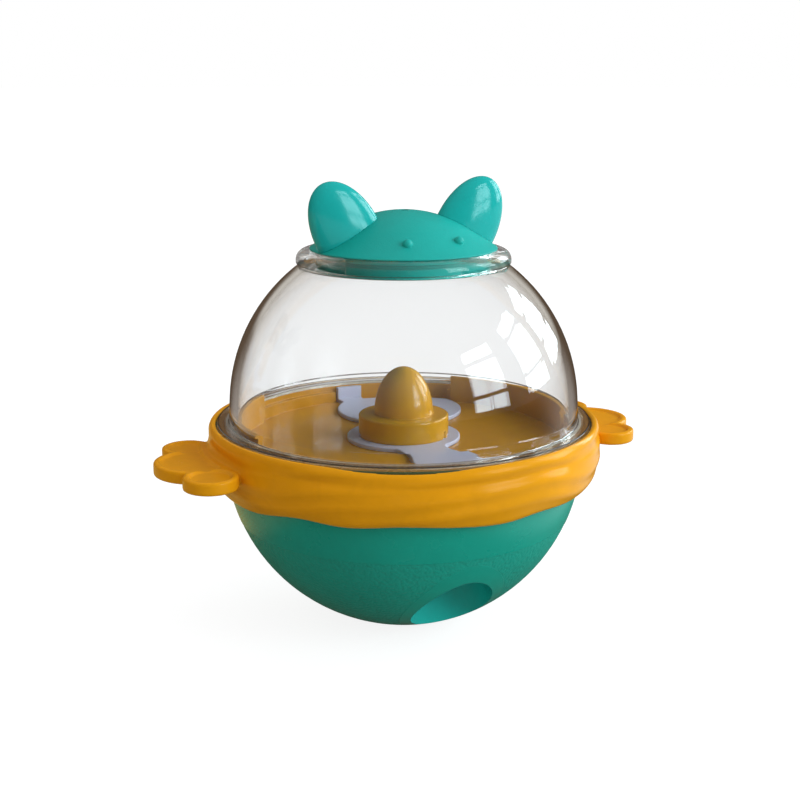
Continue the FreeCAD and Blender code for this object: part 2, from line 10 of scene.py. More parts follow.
import bmesh
import bpy
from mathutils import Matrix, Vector


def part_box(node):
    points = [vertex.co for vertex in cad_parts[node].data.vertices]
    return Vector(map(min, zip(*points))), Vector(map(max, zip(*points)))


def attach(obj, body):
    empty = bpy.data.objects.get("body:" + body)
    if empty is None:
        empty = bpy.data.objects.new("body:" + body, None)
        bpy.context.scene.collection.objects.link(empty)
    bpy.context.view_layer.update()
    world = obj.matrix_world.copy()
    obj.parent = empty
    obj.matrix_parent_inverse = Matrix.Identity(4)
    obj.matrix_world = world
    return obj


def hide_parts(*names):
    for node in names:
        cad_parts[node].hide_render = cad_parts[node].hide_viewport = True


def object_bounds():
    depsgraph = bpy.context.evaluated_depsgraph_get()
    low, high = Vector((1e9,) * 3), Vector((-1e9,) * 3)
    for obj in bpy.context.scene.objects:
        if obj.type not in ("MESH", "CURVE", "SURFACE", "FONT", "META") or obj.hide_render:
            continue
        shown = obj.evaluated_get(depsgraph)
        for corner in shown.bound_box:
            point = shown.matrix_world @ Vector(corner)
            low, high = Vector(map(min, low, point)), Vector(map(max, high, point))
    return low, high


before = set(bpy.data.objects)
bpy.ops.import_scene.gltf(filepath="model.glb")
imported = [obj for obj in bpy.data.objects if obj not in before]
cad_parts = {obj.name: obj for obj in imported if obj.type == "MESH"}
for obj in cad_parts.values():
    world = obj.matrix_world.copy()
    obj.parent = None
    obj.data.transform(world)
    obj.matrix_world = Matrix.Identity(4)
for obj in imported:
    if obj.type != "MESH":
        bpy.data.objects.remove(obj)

bl_info = {
    "name": "Rolling Treat Dispenser",
    "version": (1, 0, 0),
    "blender": (4, 5, 0),
    "location": "View3D > Sidebar > Treat Dispenser",
    "description": "Finishes, soft band, light and camera for the rolling treat dispenser",
    "category": "Object",
}

MM = 0.001
cad_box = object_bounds()
bowl_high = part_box("bowl")[1]
band_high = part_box("band")[1]

# Bowl: its rim, the line where the stipple ends, its outside and the outlet's bore
RIM_R = bowl_high.y
RIM_Z = bowl_high.z
FINISH_LINE_Z = 34.0 * MM
BOWL_R = 55.1 * MM
STIPPLED_R = 55.0 * MM
FOOT_R = 9.0 * MM
BOWL_CENTRE_Z = math.sqrt(STIPPLED_R ** 2 - FOOT_R ** 2)
FLARE_LOW_Z = 49.5 * MM
FLARE_HIGH_Z = 53.0 * MM
SLEEVE_Y = -34.7 * MM
BORE_R = 12.0 * MM

# Dome: its flange and, in pairs, where a mask starts and where it is full
FLANGE_R = 57.2 * MM
FLANGE_TOP_Z = (64.0 * MM, 64.3 * MM)
FLANGE_INSIDE = (2.0 * MM, 2.3 * MM)
LINE_Z = (63.55 * MM, 63.65 * MM)
LINE_INSIDE = (0.5 * MM, 0.65 * MM)
COLLAR_Z = (110.9 * MM, 111.9 * MM)
DOME_UPPER_Z = (86.0 * MM, 100.0 * MM)


class BandSettings(bpy.types.PropertyGroup):
    """Sizes of the soft band and its handles."""

    belly_r: bpy.props.FloatProperty(
        name="Belly radius", description="Largest radius of the band between the handles",
        default=band_high.y - 0.1 * MM, unit="LENGTH")
    ripple_depth: bpy.props.FloatProperty(
        name="Ripple depth", description="Height of the ripples that run round the band",
        default=0.16 * MM, unit="LENGTH")
    ripple_pitch: bpy.props.FloatProperty(
        name="Ripple pitch", description="Distance from one ripple to the next, up the band",
        default=5.2 * MM, unit="LENGTH")
    lobe_edge: bpy.props.FloatProperty(
        name="Handle edge", description="Rounding of the handles' edges",
        default=0.6 * MM, unit="LENGTH")
    recess_depth: bpy.props.FloatProperty(
        name="Recess depth", description="Depth of the handles' shallow recess",
        default=0.7 * MM, unit="LENGTH")
    rim_width: bpy.props.FloatProperty(
        name="Rim width", description="Width of the rim round the recess",
        default=1.7 * MM, unit="LENGTH")
    voxel: bpy.props.FloatProperty(
        name="Mesh size", description="Edge length of the band's mesh",
        default=0.36 * MM, unit="LENGTH")


class FinishSettings(bpy.types.PropertyGroup):
    """Colours of the moulded pieces."""

    bowl: bpy.props.FloatVectorProperty(
        name="Bowl", description="Teal of the bowl and the outlet sleeve",
        default=(0.004, 0.365, 0.262), subtype="COLOR", size=3, min=0, max=1)
    cap: bpy.props.FloatVectorProperty(
        name="Cap", description="Matte teal of the cap",
        default=(0.006, 0.42, 0.355), subtype="COLOR", size=3, min=0, max=1)
    ears: bpy.props.FloatVectorProperty(
        name="Ears", description="Glossy teal of the ears",
        default=(0.010, 0.42, 0.38), subtype="COLOR", size=3, min=0, max=1)
    band: bpy.props.FloatVectorProperty(
        name="Band", description="Orange of the soft band",
        default=(0.88, 0.355, 0.006), subtype="COLOR", size=3, min=0, max=1)
    tray: bpy.props.FloatVectorProperty(
        name="Tray", description="Orange of the tray",
        default=(0.60, 0.265, 0.012), subtype="COLOR", size=3, min=0, max=1)
    knob: bpy.props.FloatVectorProperty(
        name="Knob", description="Yellow orange of the knob",
        default=(0.57, 0.28, 0.008), subtype="COLOR", size=3, min=0, max=1)
    shutter: bpy.props.FloatVectorProperty(
        name="Shutter", description="Lavender grey of the shutter",
        default=(0.56, 0.55, 0.69), subtype="COLOR", size=3, min=0, max=1)


class StageSettings(bpy.types.PropertyGroup):
    """Camera, windows and room light."""

    camera_place: bpy.props.FloatVectorProperty(
        name="Camera place", description="Where the camera stands",
        default=(-170.8 * MM, -383.7 * MM, 170.5 * MM), size=3, subtype="TRANSLATION",
        unit="LENGTH")
    camera_turn: bpy.props.FloatProperty(
        name="Camera turn", description="Turn of the view about the upright, clockwise from +Y",
        default=math.radians(24.0), subtype="ANGLE")
    camera_dip: bpy.props.FloatProperty(
        name="Camera dip", description="How far the view points down",
        default=math.radians(13.604), subtype="ANGLE")
    lens: bpy.props.FloatProperty(
        name="Lens", description="Focal length in millimetres on a 36 mm sensor",
        default=63.11, subtype="DISTANCE_CAMERA")
    shift_x: bpy.props.FloatProperty(
        name="Shift", description="Sideways shift of the picture as a share of its width",
        default=-0.0046)
    pane_light: bpy.props.FloatProperty(
        name="Pane light", description="Brightness of the window panes",
        default=7.6, min=0)
    room_light: bpy.props.FloatProperty(
        name="Room light", description="Brightness of the room",
        default=1.0, min=0)
    floor_lift: bpy.props.FloatProperty(
        name="Floor lift", description="Light added to the floor where the camera sees it",
        default=0.87, min=0)
    glass_lift: bpy.props.FloatProperty(
        name="Lift behind glass", description="Light added to the floor seen through the dome",
        default=0.75, min=0)


def settings(context):
    """Band, finish and stage settings of the scene."""
    return context.scene.treat_band, context.scene.treat_finish, context.scene.treat_stage


# Shader building

def add(tree, kind, values=None, **options):
    """Adds a shader node. A value that is a socket is linked, and any other is set."""
    node = tree.nodes.new("ShaderNode" + kind)
    for key, option in options.items():
        setattr(node, key, option)
    for key, value in (values or {}).items():
        if isinstance(value, bpy.types.NodeSocket):
            tree.links.new(value, node.inputs[key])
        else:
            node.inputs[key].default_value = value
    return node


def math_node(tree, operation, first, second=0.0, third=0.0):
    return add(tree, "Math", {0: first, 1: second, 2: third}, operation=operation).outputs[0]


def vector_node(tree, operation, first, second=(0.0, 0.0, 0.0), result=0):
    return add(tree, "VectorMath", {0: first, 1: second}, operation=operation).outputs[result]


def ramp(tree, value, low, high, to_low=0.0, to_high=1.0):
    """Smooth step of a value between two limits."""
    values = {"Value": value, "From Min": low, "From Max": high, "To Min": to_low,
              "To Max": to_high}
    return add(tree, "MapRange", values, interpolation_type="SMOOTHSTEP").outputs[0]


def radius_from(tree, place, centre_y=0.0):
    """Distance of a place from an upright axis in the plane x = 0."""
    off_axis = vector_node(tree, "SUBTRACT", place, (0, centre_y, 0))
    flat = vector_node(tree, "MULTIPLY", off_axis, (1, 1, 0))
    return vector_node(tree, "LENGTH", flat, result="Value")


def mix_colour(tree, factor, first, second, blend="MIX"):
    node = add(tree, "Mix", {0: factor, 6: first, 7: second}, data_type="RGBA", blend_type=blend)
    return node.outputs[2]


def rgba(colour):
    return (colour[0], colour[1], colour[2], 1.0)


def group(name, inputs, outputs):
    """New shader node group: its tree, its input sockets by name and its output node."""
    tree = bpy.data.node_groups.new(name, "ShaderNodeTree")
    for label, kind, default in inputs:
        socket = tree.interface.new_socket(label, in_out="INPUT", socket_type="NodeSocket" + kind)
        socket.default_value = default
    for label, kind in outputs:
        tree.interface.new_socket(label, in_out="OUTPUT", socket_type="NodeSocket" + kind)
    start = tree.nodes.new("NodeGroupInput")
    end = tree.nodes.new("NodeGroupOutput")
    return tree, start.outputs, end


def use(tree, name, values):
    """Places a node group in a material."""
    return add(tree, "Group", values, node_tree=bpy.data.node_groups[name]).outputs


# Surface effects: finer scales as a multiple of the given one, shares, and the limits of masks
FLOW_SCALE = 6.0
FLOW_SHARE = 0.25
CLOUD_LIMITS = (0.35, 0.65)
FINE_SCALE = 1.7
FINE_SHARE = 0.4
HOLLOW_LIMITS = (0.25, 0.75)
HAIR_SCALE = 2.2
HAIR_TURN = (0.5, 0.3, 0.8)
HAIR_STRETCH = (1.0, 14.0, 3.0)
HAIR_WIDTH = 0.008
HAIR_LIMITS = (0.5, 0.62)
HAIR_DULLING = 0.2
EDGE_LIMITS = (0.78, 0.995)
EDGE_SHARE = 0.5
SCRATCH_DEPTH = 0.02 * MM
GREY = (0.5, 0.5, 0.5, 1)
BLACK = (0, 0, 0, 1)
WHITE = (1, 1, 1, 1)


def pigment_group():
    """Uneven pigment: broad clouds of a second tone and faint flow streaks from the mould."""
    tree, given, end = group(
        "Pigment", [("Tone", "Color", GREY), ("Second Tone", "Color", GREY),
                    ("Cloud Scale", "Float", 30.0), ("Amount", "Float", 0.5)],
        [("Color", "Color")])
    place = add(tree, "TexCoord").outputs["Object"]
    cloud = add(tree, "TexNoise", {"Vector": place, "Scale": given["Cloud Scale"], "Detail": 3.0,
                                   "Roughness": 0.55}).outputs["Fac"]
    flow_scale = math_node(tree, "MULTIPLY", given["Cloud Scale"], FLOW_SCALE)
    flow = add(tree, "TexNoise", {"Vector": place, "Scale": flow_scale, "Detail": 2.0,
                                  "Distortion": 1.5}).outputs["Fac"]
    cloud = math_node(tree, "MULTIPLY", cloud, 1.0 - FLOW_SHARE)
    both = math_node(tree, "MULTIPLY_ADD", flow, FLOW_SHARE, cloud)
    share = math_node(tree, "MULTIPLY", ramp(tree, both, *CLOUD_LIMITS), given["Amount"])
    colour = mix_colour(tree, share, given["Tone"], given["Second Tone"])
    tree.links.new(colour, end.inputs["Color"])


def grain_group():
    """Moulded grain: rounded pebbles with a finer noise, as a height and a mask of the hollows."""
    tree, given, end = group(
        "Grain", [("Pebble Scale", "Float", 1400.0), ("Strength", "Float", 1.0)],
        [("Height", "Float"), ("Hollows", "Float")])
    place = add(tree, "TexCoord").outputs["Object"]
    pebbles = add(tree, "TexVoronoi", {"Vector": place, "Scale": given["Pebble Scale"],
                                       "Randomness": 1.0}, feature="SMOOTH_F1")
    fine_scale = math_node(tree, "MULTIPLY", given["Pebble Scale"], FINE_SCALE)
    fine = add(tree, "TexNoise", {"Vector": place, "Scale": fine_scale,
                                  "Detail": 2.0}).outputs["Fac"]
    hollows = ramp(tree, pebbles.outputs["Distance"], *HOLLOW_LIMITS)
    height = math_node(tree, "SUBTRACT", math_node(tree, "MULTIPLY", fine, FINE_SHARE), hollows)
    tree.links.new(math_node(tree, "MULTIPLY", height, given["Strength"]), end.inputs["Height"])
    tree.links.new(math_node(tree, "MULTIPLY", hollows, given["Strength"]), end.inputs["Hollows"])


def handling_group():
    """Marks of use: smudges that dull the gloss and a few hair-thin scratches."""
    tree, given, end = group(
        "Handling", [("Roughness", "Float", 0.3), ("Smudge", "Float", 0.1),
                     ("Scratch", "Float", 0.3), ("Scale", "Float", 60.0)],
        [("Roughness", "Float"), ("Height", "Float")])
    place = add(tree, "TexCoord").outputs["Object"]
    smudge = add(tree, "TexNoise", {"Vector": place, "Scale": given["Scale"], "Detail": 4.0,
                                    "Roughness": 0.6}).outputs["Fac"]
    stretch = add(tree, "Mapping", {"Vector": place, "Rotation": HAIR_TURN,
                                    "Scale": HAIR_STRETCH})
    hair_scale = math_node(tree, "MULTIPLY", given["Scale"], HAIR_SCALE)
    hair = add(tree, "TexNoise", {"Vector": stretch.outputs[0], "Scale": hair_scale, "Detail": 1.0,
                                  "Distortion": 0.6}).outputs["Fac"]
    off_centre = math_node(tree, "ABSOLUTE", math_node(tree, "SUBTRACT", hair, 0.5))
    line = ramp(tree, off_centre, 0.0, HAIR_WIDTH, 1.0, 0.0)
    scratch = math_node(tree, "MULTIPLY", math_node(tree, "MULTIPLY", line, given["Scratch"]),
                        ramp(tree, smudge, *HAIR_LIMITS))
    dull = math_node(tree, "MULTIPLY", math_node(tree, "SUBTRACT", smudge, 0.5), given["Smudge"])
    rough = math_node(tree, "ADD", math_node(tree, "ADD", given["Roughness"], dull),
                      math_node(tree, "MULTIPLY", scratch, HAIR_DULLING))
    tree.links.new(rough, end.inputs["Roughness"])
    tree.links.new(math_node(tree, "MULTIPLY", scratch, -1.0), end.inputs["Height"])


def edge_group():
    """Soft moulded edge: the normal turned round a sharp edge, and a mask that is 1 on the edge."""
    tree, given, end = group(
        "Soft Edge", [("Radius", "Float", 0.4 * MM)], [("Normal", "Vector"), ("Edge", "Float")])
    soft = add(tree, "Bevel", {"Radius": given["Radius"]}, samples=4).outputs[0]
    flat = add(tree, "NewGeometry").outputs["Normal"]
    agree = vector_node(tree, "DOT_PRODUCT", soft, flat, "Value")
    tree.links.new(soft, end.inputs["Normal"])
    tree.links.new(ramp(tree, agree, *EDGE_LIMITS, 1.0, 0.0), end.inputs["Edge"])


def material(name, **plain):
    """New material with a Principled shader whose plain values are set on its own sockets."""
    mat = bpy.data.materials.new(name)
    mat.use_nodes = True
    shader = mat.node_tree.nodes["Principled BSDF"]
    for key, value in plain.items():
        shader.inputs[key.replace("_", " ").title().replace("Ior", "IOR")].default_value = value
    return mat, mat.node_tree, shader


def link(tree, output, shader, name):
    tree.links.new(output, shader.inputs[name])


def bump(tree, height, distance, strength=1.0, normal=None):
    """Normal from a height between 0 and 1 that stands for a distance."""
    values = {"Height": height, "Distance": distance, "Strength": strength}
    if normal is not None:
        values["Normal"] = normal
    return add(tree, "Bump", values).outputs[0]


def moulded(name, tone, second, cloud=30.0, amount=0.5, rough=0.3, smudge=0.1, scratch=0.3,
            edge=0.35 * MM, edge_tone=None, texture=None, **plain):
    """Moulded plastic: uneven pigment, paler soft edges, handling marks and a fine texture."""
    mat, tree, shader = material(name, **plain)
    colour = use(tree, "Pigment", {"Tone": rgba(tone), "Second Tone": rgba(second),
                                   "Cloud Scale": cloud, "Amount": amount})["Color"]
    marks = use(tree, "Handling", {"Roughness": rough, "Smudge": smudge, "Scratch": scratch,
                                   "Scale": 45.0})
    normal = None
    if edge:
        soft = use(tree, "Soft Edge", {"Radius": edge})
        normal = soft["Normal"]
        if edge_tone is not None:
            share = math_node(tree, "MULTIPLY", soft["Edge"], EDGE_SHARE)
            colour = mix_colour(tree, share, colour, rgba(edge_tone))
    if texture is not None:
        scale, depth = texture
        grain = use(tree, "Grain", {"Pebble Scale": scale, "Strength": 1.0})
        normal = bump(tree, grain["Height"], depth, 1.0, normal)
    normal = bump(tree, marks["Height"], SCRATCH_DEPTH, 1.0, normal)
    link(tree, colour, shader, "Base Color")
    link(tree, marks["Roughness"], shader, "Roughness")
    link(tree, normal, shader, "Normal")
    return mat


def darker(colour, share):
    return tuple(channel * share for channel in colour)


def dress(node, mat):
    """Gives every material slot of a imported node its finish."""
    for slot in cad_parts[node].material_slots:
        slot.material = mat


# Finishes

# Stipple below the finish line, and the rim's two tones: warm under the dome's flange, and outside
# it a painted shade for the shadow under the flange
FINISH_BLEND = 0.1 * MM
STIPPLE_DEPTH = 0.08 * MM
STIPPLE_DULLING = 0.16
# Painted shade in the stipple's hollows
STIPPLE_PAINTED_SHADE = 0.12
RIM_BELOW_TOP = (1.4 * MM, 0.9 * MM)
RIM_STEP_R = (57.1 * MM, 57.3 * MM)
RIM_WARM = (0.36, 0.17, 0.03, 1)
RIM_PAINTED_SHADE = (0.045, 0.075, 0.03, 1)

# Outlet's bore, painted a little paler than the outside as painted light falling into it
BORE_BLEND = (0.05 * MM, 0.2 * MM)
BORE_PAINTED_LIGHT = (0.012, 0.50, 0.42, 1)

# Clear moulding: its tone face on and edge on, the edge-on brown partly the plastic's own tint and
# partly painted shade of a dark room, how much of the latter stays high on the dome, the warm
# flange, the dark line at its edge painted as shade, and how much of what is behind them they let
# through
GLASS_CLEAR = (0.985, 0.985, 0.98, 1)
GLASS_EDGE_TINT_AND_SHADE = (0.60, 0.52, 0.43, 1)
GLASS_FACING = (0.72, 0.98)
UPPER_EDGE_SHARE = 0.4
FLANGE_TONE = (1.0, 0.76, 0.42, 1)
LINE_PAINTED_SHADE = (0.010, 0.007, 0.004, 1)
FLANGE_OPENNESS = 0.5
COLLAR_OPENNESS = 0.4
SMEAR_LIMITS = (0.0015, 0.006)
SMEAR_ROUGHNESS = 0.012
DOME_SHADE = (0.88, 0.87, 0.86, 1)


def bowl_material(tone):
    """Teal bowl: satin above the finish line, stippled below it, and a rim that is warm under the
    dome's flange and painted dark outside it as shade from the flange."""
    mat, tree, shader = material("bowl_satin_and_stipple", specular_ior_level=0.4)
    place = add(tree, "TexCoord").outputs["Object"]
    z = add(tree, "SeparateXYZ", {0: place}).outputs["Z"]
    below = ramp(tree, z, FINISH_LINE_Z - FINISH_BLEND, FINISH_LINE_Z + FINISH_BLEND, 1.0, 0.0)
    grain = use(tree, "Grain", {"Pebble Scale": 1100.0, "Strength": below})
    colour = use(tree, "Pigment", {"Tone": rgba(tone), "Second Tone": rgba(darker(tone, 0.82)),
                                   "Cloud Scale": 22.0, "Amount": 0.5})["Color"]
    # Painted shade: the stipple's hollows are painted darker
    hollow = math_node(tree, "MULTIPLY", grain["Hollows"], STIPPLE_PAINTED_SHADE)
    colour = mix_colour(tree, hollow, colour, rgba(darker(tone, 0.5)))
    rim = ramp(tree, z, RIM_Z - RIM_BELOW_TOP[0], RIM_Z - RIM_BELOW_TOP[1])
    step = ramp(tree, radius_from(tree, place), *RIM_STEP_R)
    # The rim outside the flange gets painted shade for the flange's shadow
    colour = mix_colour(tree, rim, colour, mix_colour(tree, step, RIM_WARM, RIM_PAINTED_SHADE))
    marks = use(tree, "Handling", {"Roughness": 0.27, "Smudge": 0.1, "Scratch": 0.35,
                                   "Scale": 40.0})
    rough = math_node(tree, "MULTIPLY_ADD", below, STIPPLE_DULLING, marks["Roughness"])
    fine = bump(tree, marks["Height"], SCRATCH_DEPTH)
    normal = bump(tree, grain["Height"], STIPPLE_DEPTH, 1.0, fine)
    link(tree, colour, shader, "Base Color")
    link(tree, rough, shader, "Roughness")
    link(tree, normal, shader, "Normal")
    return mat


def sleeve_material(tone):
    """Satin teal as on the bowl, with a bore painted paler as painted light."""
    mat = moulded("sleeve_satin", tone, darker(tone, 0.85), rough=0.3, edge=0.3 * MM,
                  edge_tone=(0.02, 0.42, 0.34), specular_ior_level=0.4)
    tree = mat.node_tree
    shader = tree.nodes["Principled BSDF"]
    radius = radius_from(tree, add(tree, "TexCoord").outputs["Object"], SLEEVE_Y)
    bore = ramp(tree, radius, BORE_R + BORE_BLEND[0], BORE_R + BORE_BLEND[1], 1.0, 0.0)
    plain = shader.inputs["Base Color"].links[0].from_socket
    # Painted light: the bore is painted paler than the outside
    link(tree, mix_colour(tree, bore, plain, BORE_PAINTED_LIGHT), shader, "Base Color")
    return mat


def dome_zones_group():
    """Masks of the clear moulding: its flange, the painted dark line of shade at the flange's edge,
    its collar and its upper part."""
    tree, given, end = group(
        "Dome Zones", [("Edge Radius", "Float", FLANGE_R)],
        [("Flange", "Float"), ("Line", "Float"), ("Collar", "Float"), ("Upper", "Float")])
    place = add(tree, "TexCoord").outputs["Object"]
    z = add(tree, "SeparateXYZ", {0: place}).outputs["Z"]
    inside = math_node(tree, "SUBTRACT", given["Edge Radius"], radius_from(tree, place))
    low = ramp(tree, z, *FLANGE_TOP_Z, 1.0, 0.0)
    flange = math_node(tree, "MULTIPLY", low, ramp(tree, inside, *FLANGE_INSIDE, 1.0, 0.0))
    line = math_node(tree, "MULTIPLY", ramp(tree, z, *LINE_Z), low)
    line = math_node(tree, "MULTIPLY", line, ramp(tree, inside, *LINE_INSIDE, 1.0, 0.0))
    tree.links.new(flange, end.inputs["Flange"])
    tree.links.new(line, end.inputs["Line"])
    tree.links.new(ramp(tree, z, *COLLAR_Z), end.inputs["Collar"])
    tree.links.new(ramp(tree, z, *DOME_UPPER_Z), end.inputs["Upper"])


def dome_material():
    """Clear moulding: glass that lets lamps through, browner where it is seen edge on, partly its
    own tint and partly painted shade of a dark room, with a warm flange that ends in a painted dark
    line of shade and a collar that lets more of what is behind it through."""
    mat, tree, shader = material("dome_clear", transmission_weight=1.0, ior=1.49)
    zones = use(tree, "Dome Zones", {})
    facing = add(tree, "LayerWeight", {"Blend": 0.5}).outputs["Facing"]
    kept = math_node(tree, "MULTIPLY_ADD", zones["Upper"], UPPER_EDGE_SHARE - 1.0, 1.0)
    edge_on = math_node(tree, "MULTIPLY", ramp(tree, facing, *GLASS_FACING), kept)
    # Edge-on brown: partly the plastic's tint, partly painted shade of a dark room
    colour = mix_colour(tree, edge_on, GLASS_CLEAR, GLASS_EDGE_TINT_AND_SHADE)
    colour = mix_colour(tree, zones["Flange"], colour, FLANGE_TONE)
    # Painted shade: a dark line at the flange's edge
    colour = mix_colour(tree, zones["Line"], colour, LINE_PAINTED_SHADE)
    marks = use(tree, "Handling", {"Roughness": 0.0, "Smudge": 0.02, "Scratch": 0.05,
                                   "Scale": 35.0})
    smooth = ramp(tree, marks["Roughness"], *SMEAR_LIMITS, 0.0, SMEAR_ROUGHNESS)
    link(tree, colour, shader, "Base Color")
    link(tree, smooth, shader, "Roughness")
    no_line = math_node(tree, "SUBTRACT", 1.0, zones["Line"])
    flange = math_node(tree, "MULTIPLY", zones["Flange"], no_line)
    solid = math_node(tree, "MULTIPLY_ADD", flange, -FLANGE_OPENNESS, 1.0)
    solid = math_node(tree, "MULTIPLY_ADD", zones["Collar"], -COLLAR_OPENNESS, solid)
    link(tree, solid, shader, "Alpha")
    shade = add(tree, "BsdfTransparent", {"Color": DOME_SHADE})
    shadow = add(tree, "LightPath").outputs["Is Shadow Ray"]
    both = add(tree, "MixShader", {0: shadow, 1: shader.outputs[0], 2: shade.outputs[0]})
    tree.links.new(both.outputs[0], tree.nodes["Material Output"].inputs["Surface"])
    return mat


# Band mesh

def smooth_knots(knots, at, period=None):
    """Smooth curve through (place, value) knots, closed if it has a period."""
    places = [knot[0] for knot in knots]
    count = len(knots)
    if period is not None:
        at = places[0] + (at - places[0]) % period
    i = max(k for k in range(count) if places[k] <= at + 1e-9)

    def knot(k):
        if period is None:
            return knots[min(max(k, 0), count - 1)]
        turns, rest = divmod(k, count)
        return (knots[rest][0] + turns * period, knots[rest][1])

    (p0, v0), (p1, v1), (p2, v2), (p3, v3) = [knot(i + step) for step in (-1, 0, 1, 2)]
    if p2 <= p1:
        return v1
    t = (at - p1) / (p2 - p1)
    m1 = (v2 - v0) / (p2 - p0) * (p2 - p1)
    m2 = (v3 - v1) / (p3 - p1) * (p2 - p1)
    return ((2 * t ** 3 - 3 * t ** 2 + 1) * v1 + (t ** 3 - 2 * t ** 2 + t) * m1
            + (3 * t ** 2 - 2 * t ** 3) * v2 + (t ** 3 - t ** 2) * m2)


# The band's lower edge and its lip wander: (degrees, height in mm)
LOW_EDGE = ((-163, 44.7), (-145, 46.6), (-130, 45.9), (-114, 46.7), (-86, 45.4), (-72, 46.3),
            (-56, 45.8), (-30, 46.5), (-8, 44.9), (18, 46.0), (38, 45.5), (62, 46.4), (88, 45.5),
            (112, 46.3), (136, 45.6), (158, 46.2), (178, 45.2))
LIP_EDGE = ((-161, 63.6), (-140, 63.45), (-132, 63.2), (-124, 62.65), (-116, 62.4), (-106, 62.5),
            (-98, 62.95), (-90, 63.35), (-60, 63.6), (-30, 63.5), (0, 63.6), (40, 63.4),
            (50, 62.9), (60, 62.45), (90, 62.4), (118, 62.5), (128, 63.0), (140, 63.4),
            (160, 63.55))

# How far in the lip reaches over the bowl's rim: (degrees, radius in mm)
LIP_REACH = ((-160, 57.6), (-140, 57.6), (-134, 57.8), (-128, 58.5), (-102, 58.5), (-96, 57.8),
             (-90, 57.6), (0, 57.6), (44, 57.8), (52, 58.5), (120, 58.5), (132, 57.8),
             (145, 57.6))

# The band's outer side from its lower edge to its lip: (share of the height, mm inside the belly)
SIDE = ((0.0, 3.8), (0.03, 2.8), (0.09, 1.9), (0.19, 1.0), (0.31, 0.45), (0.45, 0.1), (0.57, 0.0),
        (0.67, 0.28), (0.75, 0.8), (0.82, 0.62), (0.9, 0.5), (0.96, 0.85), (1.0, 1.5))

# Waves of the ripples' line round the band: (waves in a turn, swing in ripples, start in degrees)
RIPPLE_WAVES = ((2, 0.45, 40), (3, 0.3, 200), (7, 0.12, 95), (11, 0.06, 310))

# Right handle: its faces, its lobes as x, y and radius, and the web between them and the band as
# inner x, outer x and half width; the left handle is the right one turned half round
HANDLE_TOP_Z = 57.2 * MM
HANDLE_LOW_Z = HANDLE_TOP_Z - 3.9 * MM
LOBES = ((65.4 * MM, -0.6 * MM, 13.0 * MM), (66.6 * MM, 16.4 * MM, 8.0 * MM),
         (64.2 * MM, -16.4 * MM, 7.7 * MM))
WEB = (59.6 * MM, 65.0 * MM, 16.4 * MM)
RECESS_INNER_R = 62.4 * MM
RECESS_BLEND = 0.7 * MM

# Where the corner between band and handle is rounded: from this far off the rim, up to this
# radius, this far from the handle's outline and between these heights
ROOT_OFF_RIM = 1.0 * MM
ROOT_R = 64.0 * MM
ROOT_REACH = 3.0 * MM
ROOT_LOW_Z = 51.0 * MM
ROOT_HIGH_Z = 59.0 * MM

# The band's section: play to the bowl, the lip's thickness and rise at its outer edge, the lower
# edge's thickness and rounding, the top of its straight inside, the shares of the side's height
# over which the ripples fade, and how many points the mesh is drawn with
SEAT_GAP = 0.1 * MM
LIP_T = 0.6 * MM
LIP_RISE = 0.15 * MM
LOW_EDGE_T = 0.5 * MM
LOW_EDGE_ROUND = 0.6 * MM
INNER_HIGH_Z = 58.0 * MM
FADE_LOW = 0.12
FADE_HIGH = 0.1
SEAT_STEPS = 5
SIDE_STEPS = 44
SECTIONS = 400
LOBE_SIDES = 72
EDGE_STEPS = 5


def bowl_side(z):
    """Radius of the bowl's outside at a height."""
    if z >= FLARE_HIGH_Z:
        return RIM_R
    ball = math.sqrt(max(BOWL_R ** 2 - (min(z, FLARE_LOW_Z) - BOWL_CENTRE_Z) ** 2, 0.0))
    flare = max(z - FLARE_LOW_Z, 0.0) / (FLARE_HIGH_Z - FLARE_LOW_Z)
    return ball + (RIM_R - ball) * flare


def ripple(angle, height, pitch):
    """Ripple between -1 and 1 at an angle and a height."""
    swing = 0.0
    for waves, size, start in RIPPLE_WAVES:
        swing += size * math.sin(waves * angle + math.radians(start))
    return math.sin(2 * math.pi * (height / pitch + swing))


def band_section(angle, band):
    """(radius, height) points of the band's section at an angle, from under the lip round to it."""
    degrees = math.degrees(angle)
    low = smooth_knots(LOW_EDGE, degrees, 360) * MM
    lip = smooth_knots(LIP_EDGE, degrees, 360) * MM
    inner = RIM_R + SEAT_GAP
    tip = min(smooth_knots(LIP_REACH, degrees, 360) * MM, inner)
    under = min(RIM_Z + SEAT_GAP, lip - LIP_T)
    section = [(tip, under), (inner, under), (inner, INNER_HIGH_Z), (inner, FLARE_HIGH_Z)]
    for i in range(1, SEAT_STEPS + 1):
        z = FLARE_HIGH_Z + (low + LOW_EDGE_ROUND - FLARE_HIGH_Z) * i / SEAT_STEPS
        section.append((bowl_side(z) + SEAT_GAP, z))
    section.append((bowl_side(low) + LOW_EDGE_T, low + 0.05 * MM))
    for i in range(SIDE_STEPS + 1):
        share = i / SIDE_STEPS
        z = low + (lip - low) * share
        fade = min(1.0, share / FADE_LOW, (1.0 - share) / FADE_HIGH)
        wave = band.ripple_depth * fade * ripple(angle, z, band.ripple_pitch)
        r = band.belly_r - smooth_knots(SIDE, share) * MM - band.ripple_depth + wave
        section.append((r, z + (LIP_RISE if i == SIDE_STEPS else 0.0)))
    section.append((inner + 0.35 * MM, lip + 0.1 * MM))
    section.append((tip + 0.1 * MM, max(lip - 0.15 * MM, under + 0.45 * MM)))
    return section


def add_closed(bm, rings):
    """Joins rings of points into a closed tube of quads; the last ring meets the first."""
    loops = [[bm.verts.new(point) for point in ring] for ring in rings]
    count = len(loops[0])
    for i, loop in enumerate(loops):
        following = loops[(i + 1) % len(loops)]
        for j in range(count):
            k = (j + 1) % count
            bm.faces.new((loop[j], following[j], following[k], loop[k]))


